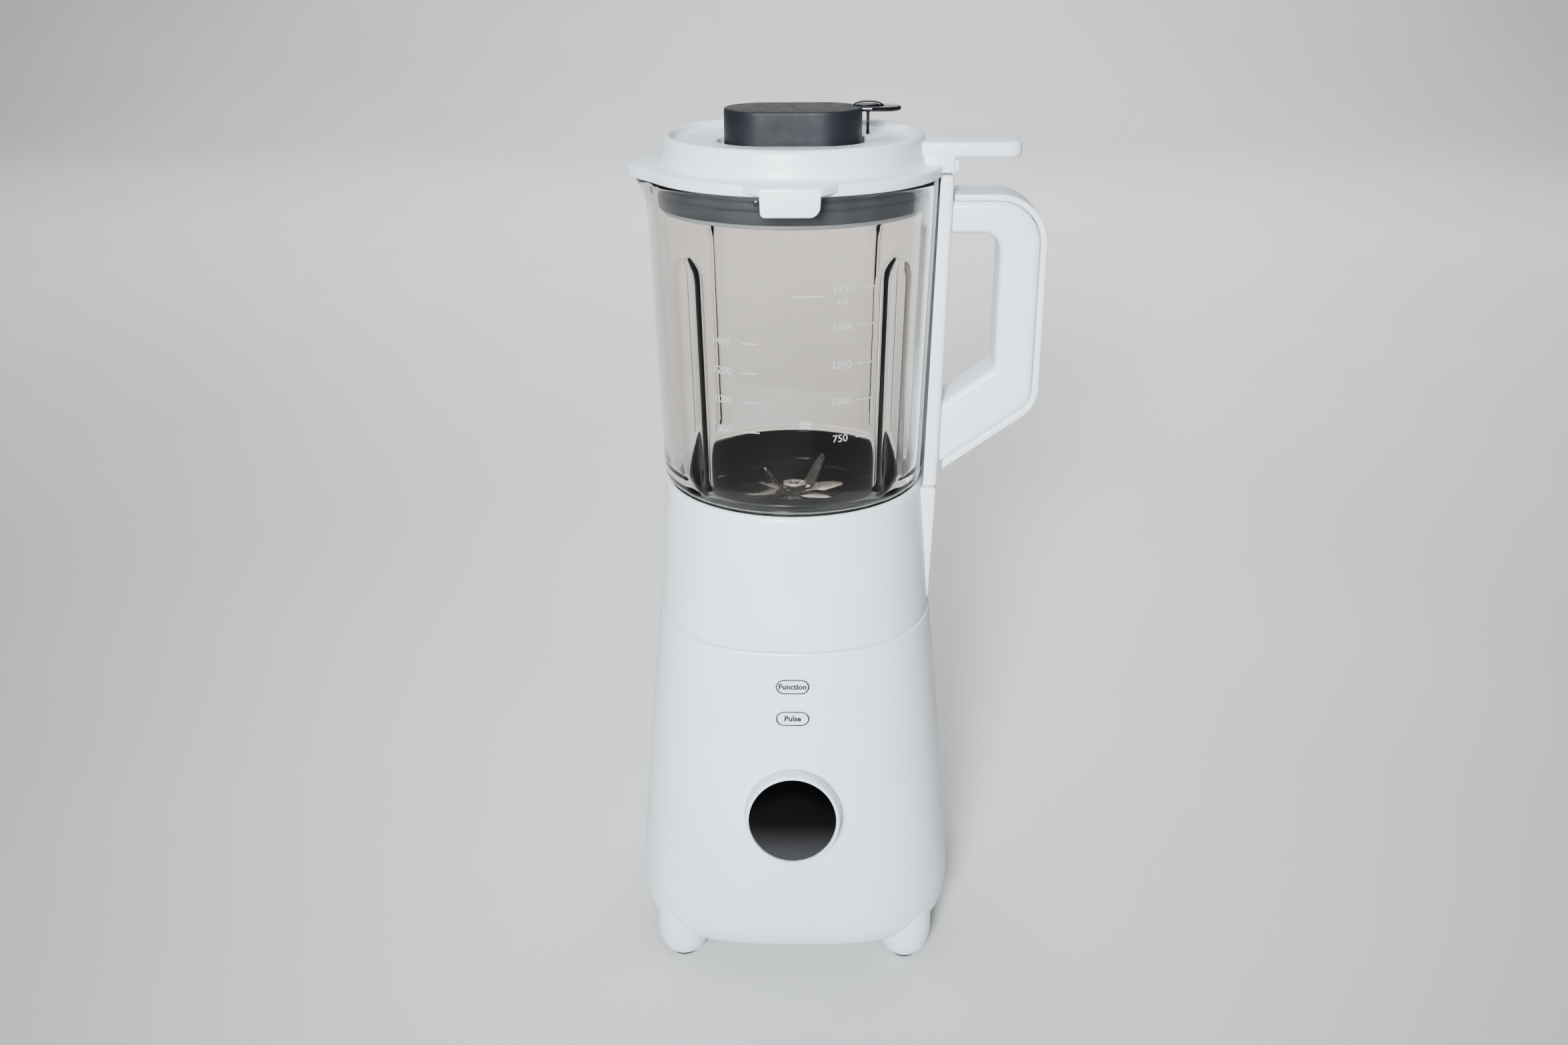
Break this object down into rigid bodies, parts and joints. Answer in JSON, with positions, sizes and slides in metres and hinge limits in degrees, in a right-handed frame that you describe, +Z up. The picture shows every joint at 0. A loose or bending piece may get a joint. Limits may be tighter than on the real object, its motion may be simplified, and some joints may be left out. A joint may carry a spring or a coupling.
{
  "type": "countertop blender",
  "caption": "Countertop blender: squarish motor base with a display knob, heated lift-off glass jug with side handle, twist lid and measuring cap.",
  "frame": {"origin": "centre of the footprint on the worktop", "axes": "+Z up, -Y the front with the knob, +X towards the jug's handle"},
  "size_m": [0.2116, 0.1912, 0.454],
  "materials": {
    "white_plastic": "satin moulded",
    "slate_plastic": "satin dark",
    "black_gloss": "glossy",
    "grey_rubber": "matt silicone",
    "clear_glass": "clear thick glass",
    "steel": "polished",
    "copper": "wound wire and laminated core",
    "circuit_board": "coated board"
  },
  "bodies": {
    "base": {"base_housing": "white_plastic", "bottom_cover": "white_plastic", "foot_1": "white_plastic", "foot_2": "white_plastic", "foot_3": "white_plastic", "foot_4": "white_plastic", "foot_pad_1": "grey_rubber", "foot_pad_2": "grey_rubber", "foot_pad_3": "grey_rubber", "foot_pad_4": "grey_rubber", "cover_screw_1": "steel", "cover_screw_2": "steel", "cover_screw_3": "steel", "cover_screw_4": "steel", "cord_gland": "grey_rubber", "display_window": "black_gloss", "display_core": "slate_plastic", "control_board": "circuit_board", "motor_stator": "steel", "lower_bearing": "steel", "upper_bearing": "steel", "lower_bearing_cup": "steel", "upper_bearing_cup": "steel", "lower_bracket": "steel", "upper_bracket": "steel", "motor_post_left": "steel", "motor_post_right": "steel", "base_connector": "slate_plastic"},
    "knob": {"knob_ring": "white_plastic"},
    "function_key": {"function_button": "white_plastic"},
    "pulse_key": {"pulse_button": "white_plastic"},
    "rotor": {"motor_rotor": "copper", "cooling_fan": "slate_plastic", "drive_coupling": "slate_plastic"},
    "jug": {"jug_collar": "white_plastic", "collar_base": "white_plastic", "jug_connector": "slate_plastic", "collar_screw_1": "steel", "collar_screw_2": "steel", "collar_screw_3": "steel", "heater_dish": "slate_plastic", "jug_seal": "grey_rubber", "blade_bearing": "steel", "bearing_nut": "steel", "glass_jug": "clear_glass", "handle_body": "white_plastic", "handle_cover": "white_plastic"},
    "interlock": {"interlock_pin": "slate_plastic"},
    "blades": {"blade_shaft": "steel", "cross_blade": "steel", "lower_blade": "steel", "upper_blade": "steel", "blade_nut": "steel", "driven_coupling": "slate_plastic"},
    "lid_seal": {"gasket_carrier": "white_plastic", "lid_gasket": "grey_rubber"},
    "lid": {"lid_body": "white_plastic"},
    "cap": {"lid_cap": "slate_plastic", "cap_tab": "black_gloss"}
  },
  "joints": [
    {"name": "knob_turn", "type": "hinge", "parent": "base", "child": "knob", "pos_m": [-0.01875, -0.09138, 0.106], "axis": [0, -0.9848, 0.1736], "continuous": true},
    {"name": "function_press", "type": "slide", "parent": "base", "child": "function_key", "axis": [0, 1, 0], "range_m": [0, 0.0008], "stiffness_N_per_m": 400},
    {"name": "pulse_press", "type": "slide", "parent": "base", "child": "pulse_key", "axis": [0, 1, 0], "range_m": [0, 0.0008], "stiffness_N_per_m": 400},
    {"name": "motor_spin", "type": "hinge", "parent": "base", "child": "rotor", "pos_m": [-0.01875, 0.00162, 0.108], "axis": [0, 0, 1], "continuous": true},
    {"name": "jug_lift", "type": "slide", "parent": "base", "child": "jug", "axis": [0, 0, 1], "range_m": [0, 0.06]},
    {"name": "blade_spin", "type": "hinge", "parent": "jug", "child": "blades", "pos_m": [-0.01875, 0.00162, 0.24], "axis": [0, 0, 1], "continuous": true},
    {"name": "interlock_press", "type": "slide", "parent": "jug", "child": "interlock", "axis": [0, 0, -1], "range_m": [0, 0.002], "stiffness_N_per_m": 150},
    {"name": "lid_lift", "type": "slide", "parent": "jug", "child": "lid_seal", "axis": [0, 0, 1], "range_m": [0, 0.05]},
    {"name": "lid_turn", "type": "hinge", "parent": "lid_seal", "child": "lid", "pos_m": [-0.01875, 0.00162, 0.424], "axis": [0, 0, 1], "range_deg": [0, 20]},
    {"name": "cap_lift", "type": "slide", "parent": "lid", "child": "cap", "axis": [0, 0, 1], "range_m": [0, 0.045]}
  ],
  "couplings": [
    {"joint": "blade_spin", "follows": "motor_spin", "ratio": 1}
  ]
}
